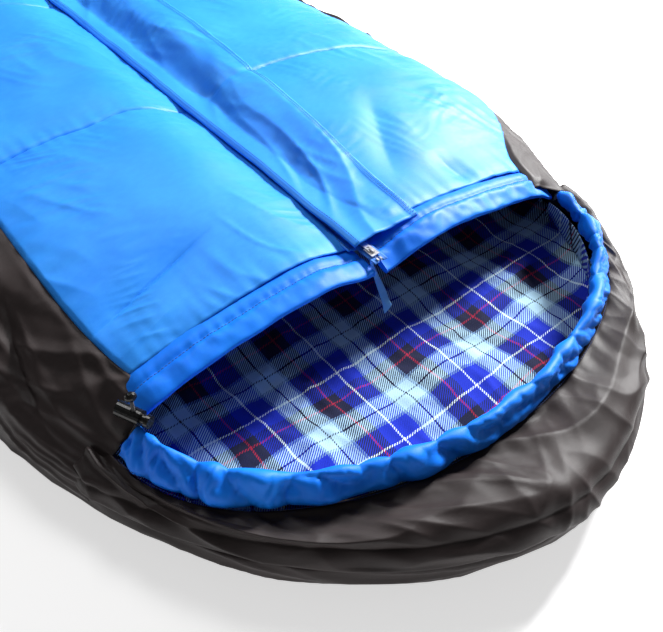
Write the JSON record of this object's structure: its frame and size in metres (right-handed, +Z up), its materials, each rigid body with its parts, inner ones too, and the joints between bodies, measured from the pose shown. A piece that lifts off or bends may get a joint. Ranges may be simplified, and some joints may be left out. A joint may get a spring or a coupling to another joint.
{
  "type": "hooded sleeping bag",
  "caption": "Adult quilted sleeping bag with a drawcord hood, a centre-front zip under a cover flap and front corners that fold back.",
  "frame": {"origin": "on the floor under the middle of the bag's bounding box", "axes": "+Y runs from the hood to the foot, +X to the side of the zip's cover flap, +Z up"},
  "size_m": [0.82, 2.2, 0.1916],
  "materials": {
    "azure_taffeta": "glossy azure polyester taffeta",
    "blue_satin": "gathered royal blue satin",
    "charcoal_nylon": "charcoal brown nylon with a soft sheen",
    "plaid_flannel": "brushed twill flannel in a blue, white, black and red plaid",
    "batting": "white hollow-fibre batting",
    "zip_tape": "woven zip tape",
    "zip_coil": "nylon coil",
    "metal": "nickel-plated",
    "lock_plastic": "black moulded plastic",
    "cord": "black braided polyester",
    "ribbon": "pale blue woven ribbon"
  },
  "bodies": {
    "root": {"bottom_shell": "charcoal_nylon", "bottom_insulation": "batting", "bottom_lining": "plaid_flannel", "hood_shell": "charcoal_nylon", "hood_insulation": "batting", "hood_lining": "plaid_flannel", "hood_channel": "blue_satin", "hood_drawcord": "cord", "cord_end_bead": "cord", "drawcord_anchor_tab": "cord", "zip_bottom_stop": "metal", "left_hang_loop": "cord", "right_hang_loop": "cord", "left_front_shell": "azure_taffeta", "left_side_shell": "charcoal_nylon", "left_front_lining": "plaid_flannel", "left_front_insulation": "batting", "right_front_shell": "azure_taffeta", "right_side_shell": "charcoal_nylon", "right_front_lining": "plaid_flannel", "right_front_insulation": "batting"},
    "left_lapel": {"left_lapel_insulation": "batting", "left_neck_hem": "blue_satin", "left_zip_tape": "zip_tape", "left_zip_coil": "zip_coil", "left_top_stop": "metal"},
    "right_lapel": {"right_lapel_insulation": "batting", "right_neck_hem": "blue_satin", "right_zip_tape": "zip_tape", "right_zip_coil": "zip_coil", "right_top_stop": "metal", "zip_cover_flap": "azure_taffeta"},
    "slider": {"zip_slider": "metal"},
    "pull_tab": {"zip_pull_tab": "metal"},
    "inner_pull": {"inner_pull_ribbon": "ribbon"},
    "cord_lock": {"cord_lock_body": "lock_plastic", "cord_lock_spring": "metal"},
    "lock_plunger": {"cord_lock_plunger": "lock_plastic"}
  },
  "joints": [
    {"name": "left_corner_fold", "type": "hinge", "parent": "root", "child": "left_lapel", "pos_m": [-0.2, -0.79, 0.14998], "axis": [-0.1592, -0.9872, -0.0112], "range_deg": [0, 135], "deforming": ["left_front_shell", "left_front_lining", "left_neck_hem", "left_zip_tape", "left_zip_coil"]},
    {"name": "right_corner_fold", "type": "hinge", "parent": "root", "child": "right_lapel", "pos_m": [0.2, -0.79, 0.14998], "axis": [-0.1592, 0.9872, 0.0112], "range_deg": [0, 135], "deforming": ["right_front_shell", "right_front_lining", "right_neck_hem", "right_zip_tape", "right_zip_coil", "zip_cover_flap"]},
    {"name": "zip_slide", "type": "slide", "parent": "root", "child": "slider", "axis": [0, 0.9999, 0.0113], "range_m": [0, 1.53]},
    {"name": "pull_tab_hinge", "type": "hinge", "parent": "slider", "child": "pull_tab", "pos_m": [0, -0.771, 0.15384], "axis": [1, 0, 0], "range_deg": [0, 100]},
    {"name": "inner_pull_swing", "type": "hinge", "parent": "slider", "child": "inner_pull", "pos_m": [0, -0.771, 0.14654], "axis": [1, 0, 0], "range_deg": [-60, 60]},
    {"name": "cord_lock_slide", "type": "slide", "parent": "root", "child": "cord_lock", "axis": [0, 0, 1], "range_m": [0, 0.012]},
    {"name": "lock_plunger_press", "type": "slide", "parent": "cord_lock", "child": "lock_plunger", "axis": [-0.4191, 0.908, 0], "range_m": [0, 0.004], "stiffness_N_per_m": 900, "deforming": ["cord_lock_spring"]}
  ]
}
